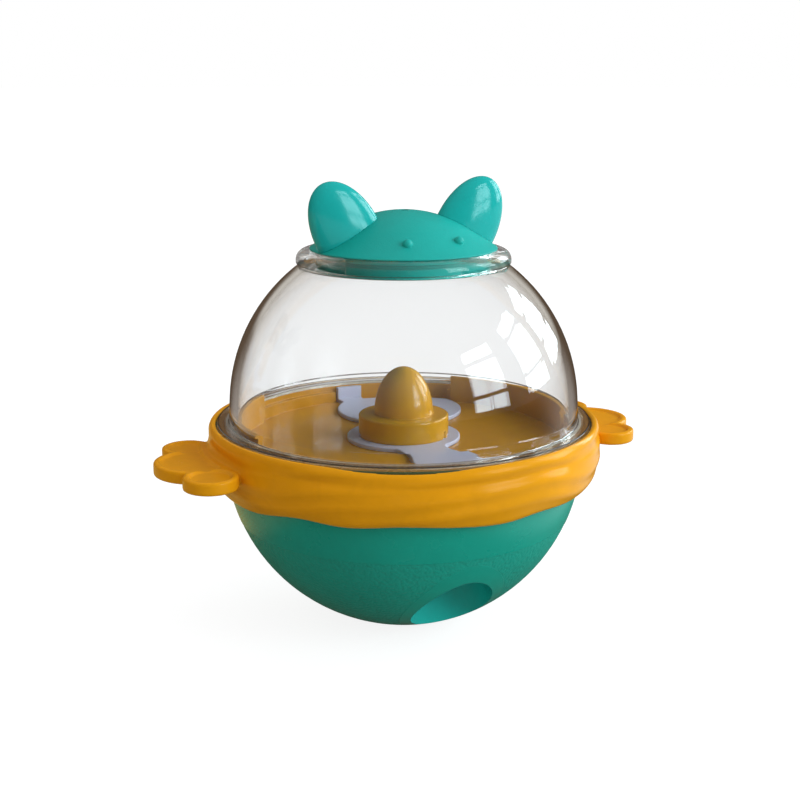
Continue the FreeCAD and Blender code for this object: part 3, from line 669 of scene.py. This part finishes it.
def lobe_rings(x, y, r, edge, side):
    """Rings of a round lobe with rounded edges, from its lower face to its upper one."""
    turns = [math.pi / 2 * i / EDGE_STEPS for i in range(EDGE_STEPS + 1)]
    core = r - edge
    outline = [(core + edge * math.sin(turn), HANDLE_LOW_Z + edge - edge * math.cos(turn))
               for turn in turns]
    outline += [(core + edge * math.cos(turn), HANDLE_TOP_Z - edge + edge * math.sin(turn))
                for turn in turns]
    rings = []
    for radius, z in outline:
        ring = []
        for k in range(LOBE_SIDES):
            angle = 2 * math.pi * k / LOBE_SIDES
            ring.append((side * x + radius * math.cos(angle),
                         side * y + radius * math.sin(angle), z))
        rings.append(ring)
    return rings


def add_lathe(bm, rings):
    """Stacked rings with a face at each end."""
    loops = [[bm.verts.new(point) for point in ring] for ring in rings]
    count = len(loops[0])
    for lower, upper in zip(loops, loops[1:]):
        for j in range(count):
            k = (j + 1) % count
            bm.faces.new((lower[j], lower[k], upper[k], upper[j]))
    bm.faces.new(list(reversed(loops[0])))
    bm.faces.new(loops[-1])


def add_root(bm, side, edge):
    """Web that fills the handle between its lobes and the band."""
    inner, outer, half = WEB
    rings = []
    for inset, z in ((edge, HANDLE_LOW_Z), (0.0, HANDLE_LOW_Z + edge),
                     (0.0, HANDLE_TOP_Z - edge), (edge, HANDLE_TOP_Z)):
        width = half - inset
        corners = [(inner, -width), (outer, -width), (outer, width), (inner, width)]
        if side < 0:
            corners.reverse()
        rings.append([(side * x, y, z) for x, y in corners])
    add_lathe(bm, rings)


def inside_lobes(x, y, inset):
    """How far a point lies inside the handle's outline less an inset; below 0 it is outside."""
    side = math.copysign(1.0, x)
    return max(r - inset - math.hypot(side * x - cx, side * y - cy) for cx, cy, r in LOBES)


def step_between(value, low, high):
    share = min(max((value - low) / (high - low), 0.0), 1.0)
    return share * share * (3 - 2 * share)


def band_mesh(band):
    """The band with its handles as one rippled skin."""
    bm = bmesh.new()
    sections = []
    for i in range(SECTIONS):
        angle = 2 * math.pi * i / SECTIONS - math.pi
        c, s = math.cos(angle), math.sin(angle)
        sections.append([(r * c, r * s, z) for r, z in band_section(angle, band)])
    add_closed(bm, sections)
    for side in (-1, 1):
        for x, y, r in LOBES:
            add_lathe(bm, lobe_rings(x, y, r, band.lobe_edge, side))
        add_root(bm, side, band.lobe_edge)
    bmesh.ops.recalc_face_normals(bm, faces=bm.faces)
    mesh = bpy.data.meshes.new("band_skin")
    bm.to_mesh(mesh)
    bm.free()
    return mesh


def applied(piece):
    """Replaces a piece's mesh by what its modifiers make of it."""
    graph = bpy.context.evaluated_depsgraph_get()
    mesh = bpy.data.meshes.new_from_object(piece.evaluated_get(graph))
    piece.modifiers.clear()
    old = piece.data
    piece.data = mesh
    bpy.data.meshes.remove(old)


def soften(bm, verts, rounds):
    for _ in range(rounds):
        bmesh.ops.smooth_vert(bm, verts=verts, factor=0.5, use_axis_x=True, use_axis_y=True,
                              use_axis_z=True)


def near_root(co):
    """True for points near the corner between the band and a handle."""
    r = math.hypot(co.x, co.y)
    return (RIM_R + ROOT_OFF_RIM < r < ROOT_R and inside_lobes(co.x, co.y, 0.0) > -ROOT_REACH
            and ROOT_LOW_Z < co.z < ROOT_HIGH_Z)


def shape_band(piece, band):
    """Blends the handles into the band, sinks their recess and keeps the band off the bowl."""
    bm = bmesh.new()
    bm.from_mesh(piece.data)
    soften(bm, bm.verts, 2)
    soften(bm, [v for v in bm.verts if near_root(v.co)], 4)
    for v in bm.verts:
        depth = inside_lobes(v.co.x, v.co.y, band.rim_width)
        r = math.hypot(v.co.x, v.co.y)
        near_top = v.co.z > HANDLE_TOP_Z - 1.2 * MM and r > RECESS_INNER_R - 1.0 * MM
        if near_top and v.normal.z > 0.3:
            share = step_between(depth, 0.0, RECESS_BLEND)
            share *= step_between(r, RECESS_INNER_R, RECESS_INNER_R + RECESS_BLEND)
            v.co.z -= band.recess_depth * share
    top = [v for v in bm.verts if v.co.z > HANDLE_TOP_Z - 2.0 * MM and abs(v.co.x) > 61.0 * MM]
    soften(bm, top, 1)
    for v in bm.verts:
        r = math.hypot(v.co.x, v.co.y)
        least = bowl_side(v.co.z) + 0.5 * SEAT_GAP
        if r < least and v.co.z > RIM_Z - 0.3 * MM:
            v.co.z = max(v.co.z, RIM_Z + 0.5 * SEAT_GAP)
        elif r < least:
            v.co.x *= least / r
            v.co.y *= least / r
        across = max(abs(v.co.x) / cad_box[1].x, 1.0)
        v.co.x /= across
    bm.to_mesh(piece.data)
    bm.free()


# Operators

class TREAT_OT_bowl(bpy.types.Operator):
    """Finish the bowl and the outlet sleeve"""

    bl_idname = "treat.bowl"
    bl_label = "Bowl and Outlet"

    def execute(self, context):
        finish = settings(context)[1]
        dress("bowl", bowl_material(finish.bowl))
        dress("outlet_sleeve", sleeve_material(finish.bowl))
        return {"FINISHED"}


class TREAT_OT_band(bpy.types.Operator):
    """Build the soft band with its handles in place of the plain one"""

    bl_idname = "treat.band"
    bl_label = "Soft Band"

    def execute(self, context):
        band, finish, _ = settings(context)
        piece = bpy.data.objects.new("band_skin", band_mesh(band))
        context.scene.collection.objects.link(piece)
        remesh = piece.modifiers.new("skin", "REMESH")
        remesh.mode = "VOXEL"
        remesh.voxel_size = band.voxel
        applied(piece)
        shape_band(piece, band)
        piece.data.shade_smooth()
        mat = moulded("band_soft", finish.band, darker(finish.band, 0.8), cloud=26.0, amount=0.55,
                      rough=0.21, smudge=0.1, edge=0.0, specular_ior_level=0.17,
                      specular_tint=(1.0, 0.85, 0.55, 1.0))
        piece.data.materials.clear()
        piece.data.materials.append(mat)
        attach(piece, "base")
        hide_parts("band")
        return {"FINISHED"}


class TREAT_OT_tray(bpy.types.Operator):
    """Finish the tray"""

    bl_idname = "treat.tray"
    bl_label = "Tray"

    def execute(self, context):
        finish = settings(context)[1]
        mat = moulded("tray_gloss", finish.tray, darker(finish.tray, 0.78), cloud=24.0, rough=0.2,
                      edge=0.35 * MM, edge_tone=(0.85, 0.5, 0.15), specular_ior_level=0.35)
        dress("tray", mat)
        return {"FINISHED"}


class TREAT_OT_selector(bpy.types.Operator):
    """Finish the knob and the shutter"""

    bl_idname = "treat.selector"
    bl_label = "Knob and Shutter"

    def execute(self, context):
        finish = settings(context)[1]
        knob = moulded("knob_gloss", finish.knob, (0.60, 0.27, 0.015), cloud=40.0, rough=0.16,
                       smudge=0.08, edge=0.4 * MM, edge_tone=(0.85, 0.55, 0.08))
        dress("knob", knob)
        shutter = moulded("shutter_satin", finish.shutter, darker(finish.shutter, 0.86), cloud=45.0,
                          rough=0.33, edge=0.4 * MM, edge_tone=(0.85, 0.83, 0.95))
        dress("shutter", shutter)
        return {"FINISHED"}


class TREAT_OT_dome(bpy.types.Operator):
    """Finish the clear dome"""

    bl_idname = "treat.dome"
    bl_label = "Dome"

    def execute(self, context):
        dress("dome", dome_material())
        return {"FINISHED"}


class TREAT_OT_cap(bpy.types.Operator):
    """Finish the cap and the ears"""

    bl_idname = "treat.cap"
    bl_label = "Cap and Ears"

    def execute(self, context):
        finish = settings(context)[1]
        cap = moulded("cap_matte", finish.cap, darker(finish.cap, 0.88), cloud=30.0, rough=0.5,
                      scratch=0.15, edge=0.3 * MM, edge_tone=(0.05, 0.60, 0.52),
                      texture=(2600.0, 0.02 * MM), specular_ior_level=0.25)
        dress("cap", cap)
        ears = moulded("ear_gloss", finish.ears, darker(finish.ears, 0.85), cloud=35.0,
                       rough=0.14, smudge=0.05, edge=0.25 * MM, specular_ior_level=0.4,
                       specular_tint=(0.7, 1.0, 1.0, 1.0))
        for node in ("ear_left", "ear_right"):
            dress(node, ears)
        return {"FINISHED"}


class TREAT_OT_inner(bpy.types.Operator):
    """Finish the weight, its cover, the screws and the seals"""

    bl_idname = "treat.inner"
    bl_label = "Inner Pieces"

    def execute(self, context):
        iron = moulded("weight_cast_iron", (0.10, 0.10, 0.105), (0.055, 0.05, 0.048), cloud=60.0,
                       amount=0.9, rough=0.55, smudge=0.2, edge=0.4 * MM,
                       edge_tone=(0.3, 0.3, 0.3), texture=(700.0, 0.12 * MM), metallic=0.85)
        dress("counterweight", iron)
        cover = moulded("cover_grey", (0.30, 0.31, 0.32), (0.24, 0.25, 0.26), rough=0.45,
                        edge=0.3 * MM, texture=(1500.0, 0.03 * MM))
        dress("weight_cover", cover)
        steel = moulded("screw_zinc", (0.66, 0.67, 0.69), (0.52, 0.54, 0.58), cloud=200.0,
                        amount=0.6, rough=0.3, smudge=0.25, edge=0.15 * MM, metallic=1.0)
        for node in ("cover_screws", "tray_screws", "selector_screw", "selector_washer",
                     "ear_screws"):
            dress(node, steel)
        seal = moulded("cap_seal_silicone", (0.02, 0.09, 0.07), (0.015, 0.06, 0.05), rough=0.4,
                       edge=0.0)
        dress("cap_seal", seal)
        rubber = moulded("ring_rubber", (0.02, 0.02, 0.02), (0.035, 0.035, 0.035), rough=0.6,
                         edge=0.0, texture=(1800.0, 0.02 * MM))
        dress("friction_ring", rubber)
        silicone = moulded("gasket_silicone", (0.80, 0.72, 0.60), (0.72, 0.62, 0.48), rough=0.35,
                           edge=0.0, transmission_weight=0.35)
        dress("dome_gasket", silicone)
        return {"FINISHED"}


# Windows: degrees round to the middle, width in degrees, and the pane rows' lower and upper edges
# in degrees up
WINDOWS = ((-55.0, 25.0, ((3.0, 10.5), (12.5, 30.0), (32.5, 38.5))),
           (-13.0, 21.0, ((4.0, 11.5), (13.5, 30.5), (33.0, 38.5))),
           (17.0, 17.0, ((5.0, 12.0), (14.0, 24.0), (26.0, 30.5))))
WINDOW_DISTANCE = 1.6
MUNTIN_SHARE = 0.06
PANE_TONE = (0.84, 0.98, 1.05)

# Room light on the left, on the right and above, the room as gloss and glass mirror it, and the
# floor's sides as gloss mirrors them, each with where it starts and is full
ROOM_LEFT = (0.46, 0.38, 0.265, 1)
ROOM_RIGHT = (0.44, 0.48, 0.52, 1)
ROOM_ABOVE = (0.70, 0.71, 0.74, 1)
GLOSS_ROUND = (0.11, 0.075, 0.05, 1)
GLOSS_ABOVE = (0.35, 0.34, 0.33, 1)
GLASS_SIDES = (0.92, 0.88, 0.83, 1)
GLASS_ABOVE = (0.42, 0.39, 0.34, 1)
FLOOR_SIDES = ((75 * MM, 105 * MM, (0.75, 0.80, 0.80, 1)),
               (-70 * MM, -95 * MM, (0.60, 0.45, 0.15, 1)))
BACK_AZIMUTH = 66.0
SIDE_AZIMUTH = -40.0
HORIZON_SLANT = 0.1

# Where parts of the room start and are full: by height, or by how far a ray turns to the back or
# to the side, both between -1 and 1
ROOM_TURN = (-0.9, 0.6)
ROOM_RISE = (0.1, 0.9)
GLOSS_RISE = (0.2, 1.0)
GLASS_TURN = (0.62, 0.88)
HIGH_TURN = (0.8, 0.9)
HIGH_RISE = (0.02, 0.16)
FRONT_TURN = (0.0, 0.4)
FRONT_RISE = (0.1, 0.5)
FRONT_DIMMING = 0.75
WALL_RISE = (-0.05, 0.08)

# Floor: its two tones, its tone where the camera sees it, and its size
FLOOR_TONES = ((0.46, 0.45, 0.43, 1), (0.42, 0.41, 0.39, 1))
FLOOR_MOTTLE = 0.2
FLOOR_SEEN = (0.25, 0.25, 0.25, 1)
FLOOR_R = 9.0


def direction(azimuth, height):
    """Unit vector at degrees round and degrees up."""
    a, h = math.radians(azimuth), math.radians(height)
    return Vector((math.cos(a) * math.cos(h), math.sin(a) * math.cos(h), math.sin(h)))


def lamp(name, place, towards, width, height, radiance, tone):
    """Rectangular lamp of a given brightness that faces a place."""
    data = bpy.data.lights.new(name, "AREA")
    data.shape = "RECTANGLE"
    data.size = width
    data.size_y = height
    data.energy = radiance * math.pi * width * height
    data.color = tone
    piece = bpy.data.objects.new(name, data)
    piece.location = place
    piece.rotation_euler = (towards - place).to_track_quat("-Z", "Y").to_euler()
    bpy.context.scene.collection.objects.link(piece)


def add_windows(stage):
    """Tall windows of two columns of panes each, off to the right of the object."""
    middle = Vector((0.0, 0.0, (cad_box[0].z + cad_box[1].z) / 2))
    for number, (azimuth, width, rows) in enumerate(WINDOWS):
        out = direction(azimuth, 0.0)
        side = out.cross(Vector((0, 0, 1))).normalized()
        wide = 2 * WINDOW_DISTANCE * math.tan(math.radians(width / 2))
        pane_w = wide / 2 * (1 - MUNTIN_SHARE)
        for row, (low, high) in enumerate(rows):
            z0 = WINDOW_DISTANCE * math.tan(math.radians(low))
            z1 = WINDOW_DISTANCE * math.tan(math.radians(high))
            for column in (-1, 1):
                place = middle + out * WINDOW_DISTANCE + side * (column * wide / 4)
                place.z += (z0 + z1) / 2
                lamp(f"pane_{number}_{row}_{column + 1}", place, place - out, pane_w, z1 - z0,
                     stage.pane_light, PANE_TONE)


def along(tree, ray, azimuth, height=0.0):
    """How far a ray or a place lies towards a direction."""
    return vector_node(tree, "DOT_PRODUCT", ray, tuple(direction(azimuth, height)), "Value")


def straight_view(tree):
    """1 where the camera sees a place with at most glass between them."""
    light = add(tree, "LightPath").outputs
    seen = math_node(tree, "MAXIMUM", light["Is Camera Ray"], light["Is Transmission Ray"])
    met = math_node(tree, "ADD", light["Diffuse Depth"], light["Glossy Depth"])
    return math_node(tree, "MULTIPLY", seen, math_node(tree, "LESS_THAN", met, 0.5))


def mirrored(tree):
    """Three masks of what the camera sees mirrored: in any gloss, on the dome's outside, and by way
    of the wall of the dome alone."""
    light = add(tree, "LightPath").outputs
    met = math_node(tree, "GREATER_THAN", light["Glossy Depth"], 0.5)
    sharp = math_node(tree, "LESS_THAN", light["Diffuse Depth"], 0.5)
    outside = math_node(tree, "LESS_THAN", light["Transmission Depth"], 0.5)
    in_wall = math_node(tree, "LESS_THAN", light["Transmission Depth"], 2.5)
    return (math_node(tree, "MULTIPLY", met, sharp),
            math_node(tree, "MULTIPLY", light["Is Singular Ray"], outside),
            math_node(tree, "SUBTRACT", in_wall, outside))


def room_group():
    """The room as gloss mirrors it: dim all round and paler above. The dome's outside also catches
    the pale sides of the room and its dimmer front, but not what is behind the object unless it is
    high, and the wall of the dome catches what is above a slightly slanted horizon."""
    tree, given, end = group(
        "Room", [("Direction", "Vector", (0, 0, 1)), ("Outside", "Float", 0.0),
                 ("Inside", "Float", 0.0)], [("Color", "Color")])
    ray = vector_node(tree, "NORMALIZE", given["Direction"])
    z = add(tree, "SeparateXYZ", {0: ray}).outputs["Z"]
    behind = along(tree, ray, BACK_AZIMUTH, -10.0)
    aside = along(tree, ray, BACK_AZIMUTH - 90.0)
    colour = mix_colour(tree, ramp(tree, z, *GLOSS_RISE), GLOSS_ROUND, GLOSS_ABOVE)
    front = math_node(tree, "MULTIPLY", ramp(tree, behind, *FRONT_TURN, FRONT_DIMMING, 0.0),
                      ramp(tree, z, *FRONT_RISE, 1.0, 0.0))
    sides = mix_colour(tree, front, GLASS_SIDES, BLACK)
    high = math_node(tree, "MULTIPLY", ramp(tree, z, *HIGH_RISE),
                     ramp(tree, behind, *HIGH_TURN, 1.0, 0.0))
    pale = math_node(tree, "MAXIMUM", ramp(tree, behind, *GLASS_TURN, 1.0, 0.0), high)
    pale = math_node(tree, "MULTIPLY", pale, given["Outside"])
    colour = mix_colour(tree, pale, colour, sides)
    slanted = math_node(tree, "MULTIPLY_ADD", aside, HORIZON_SLANT, z)
    upper = math_node(tree, "MULTIPLY", ramp(tree, slanted, *WALL_RISE), given["Inside"])
    tree.links.new(mix_colour(tree, upper, colour, GLASS_ABOVE), end.inputs["Color"])


def set_world(stage):
    """Room light for the object, a dim room in its gloss, and white where the camera sees past."""
    world = bpy.data.worlds.new("room")
    world.use_nodes = True
    tree = world.node_tree
    tree.nodes.clear()
    ray = add(tree, "TexCoord").outputs["Generated"]
    z = add(tree, "SeparateXYZ", {0: ray}).outputs["Z"]
    right = ramp(tree, along(tree, ray, SIDE_AZIMUTH), *ROOM_TURN)
    level = mix_colour(tree, right, ROOM_LEFT, ROOM_RIGHT)
    room = mix_colour(tree, ramp(tree, z, *ROOM_RISE), level, ROOM_ABOVE)
    room = mix_colour(tree, 1.0, room, (stage.room_light,) * 3 + (1,), "MULTIPLY")
    _, outside, inside = mirrored(tree)
    gloss = use(tree, "Room", {"Direction": ray, "Outside": outside, "Inside": inside})["Color"]
    light = add(tree, "LightPath").outputs
    colour = mix_colour(tree, light["Is Glossy Ray"], room, gloss)
    matt_first = math_node(tree, "GREATER_THAN", light["Diffuse Depth"], 0.5)
    lit_twice = math_node(tree, "MULTIPLY", matt_first, light["Is Transmission Ray"])
    colour = mix_colour(tree, lit_twice, colour, BLACK)
    colour = mix_colour(tree, straight_view(tree), colour, WHITE)
    background = add(tree, "Background", {"Color": colour, "Strength": 1.0})
    out = add(tree, "OutputWorld")
    tree.links.new(background.outputs[0], out.inputs["Surface"])
    bpy.context.scene.world = world


def floor_material(stage):
    """Pale floor that keeps the object's shadow and reads white where it is lit."""
    mat, tree, shader = material("floor_pale", roughness=0.9, specular_ior_level=0.0)
    place = add(tree, "TexCoord").outputs["Object"]
    mottle = add(tree, "TexNoise", {"Vector": place, "Scale": 40.0, "Detail": 3.0}).outputs["Fac"]
    colour = mix_colour(tree, math_node(tree, "MULTIPLY", mottle, FLOOR_MOTTLE), *FLOOR_TONES)
    light = add(tree, "LightPath").outputs
    straight = straight_view(tree)
    in_gloss, outside, inside = mirrored(tree)
    colour = mix_colour(tree, straight, colour, FLOOR_SEEN)
    link(tree, mix_colour(tree, in_gloss, colour, BLACK), shader, "Base Color")
    lift = mix_colour(tree, light["Is Camera Ray"], rgba((stage.glass_lift,) * 3),
                      rgba((stage.floor_lift,) * 3))
    lift = mix_colour(tree, straight, BLACK, lift)
    room = use(tree, "Room", {"Direction": place, "Outside": outside, "Inside": 0.0})["Color"]
    aside = along(tree, place, SIDE_AZIMUTH)
    sharp = math_node(tree, "MAXIMUM", light["Is Singular Ray"], inside)
    matt = math_node(tree, "SUBTRACT", 1.0, sharp)
    for start, full, tone in FLOOR_SIDES:
        share = math_node(tree, "MULTIPLY", ramp(tree, aside, start, full), matt)
        room = mix_colour(tree, share, room, tone)
    glow = add(tree, "Emission", {"Color": mix_colour(tree, in_gloss, lift, room), "Strength": 1.0})
    both = add(tree, "AddShader", {0: shader.outputs[0], 1: glow.outputs[0]})
    tree.links.new(both.outputs[0], tree.nodes["Material Output"].inputs["Surface"])
    return mat


def add_floor(stage):
    """Round floor, far wider than the view."""
    bm = bmesh.new()
    bmesh.ops.create_circle(bm, cap_ends=True, radius=FLOOR_R, segments=96)
    mesh = bpy.data.meshes.new("floor")
    bm.to_mesh(mesh)
    bm.free()
    floor = bpy.data.objects.new("floor", mesh)
    mesh.materials.append(floor_material(stage))
    bpy.context.scene.collection.objects.link(floor)


def add_camera(stage):
    data = bpy.data.cameras.new("camera")
    data.sensor_width = 36.0
    data.lens = stage.lens
    data.shift_x = stage.shift_x
    data.clip_start = 0.01
    camera = bpy.data.objects.new("camera", data)
    camera.location = stage.camera_place
    camera.rotation_euler = (math.pi / 2 - stage.camera_dip, 0.0, -stage.camera_turn)
    bpy.context.scene.collection.objects.link(camera)
    bpy.context.scene.camera = camera


class TREAT_OT_stage(bpy.types.Operator):
    """Set the floor, the room, the windows and the camera"""

    bl_idname = "treat.stage"
    bl_label = "Stage"

    def execute(self, context):
        stage = settings(context)[2]
        add_floor(stage)
        set_world(stage)
        add_windows(stage)
        add_camera(stage)
        context.scene.view_settings.view_transform = "Standard"
        return {"FINISHED"}


class TREAT_PT_panel(bpy.types.Panel):
    """Lists the steps that dress the dispenser"""

    bl_idname = "TREAT_PT_panel"
    bl_label = "Treat Dispenser"
    bl_space_type = "VIEW_3D"
    bl_region_type = "UI"
    bl_category = "Treat Dispenser"

    def draw(self, context):
        for step in steps:
            self.layout.operator(step.bl_idname)


steps = (TREAT_OT_bowl, TREAT_OT_band, TREAT_OT_tray, TREAT_OT_selector, TREAT_OT_dome,
         TREAT_OT_cap, TREAT_OT_inner, TREAT_OT_stage)
shader_groups = (pigment_group, grain_group, handling_group, edge_group, dome_zones_group,
                 room_group)
setting_groups = {"treat_band": BandSettings, "treat_finish": FinishSettings,
                  "treat_stage": StageSettings}


def register():
    for cls in (*setting_groups.values(), *steps, TREAT_PT_panel):
        bpy.utils.register_class(cls)
    for name, cls in setting_groups.items():
        setattr(bpy.types.Scene, name, bpy.props.PointerProperty(type=cls))


def unregister():
    for name in setting_groups:
        delattr(bpy.types.Scene, name)
    for cls in reversed((*setting_groups.values(), *steps, TREAT_PT_panel)):
        bpy.utils.unregister_class(cls)


def main():
    """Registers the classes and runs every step."""
    register()
    for make_group in shader_groups:
        make_group()
    for step in steps:
        family, name = step.bl_idname.split(".")
        getattr(getattr(bpy.ops, family), name)()


if __name__ == "__main__":
    main()
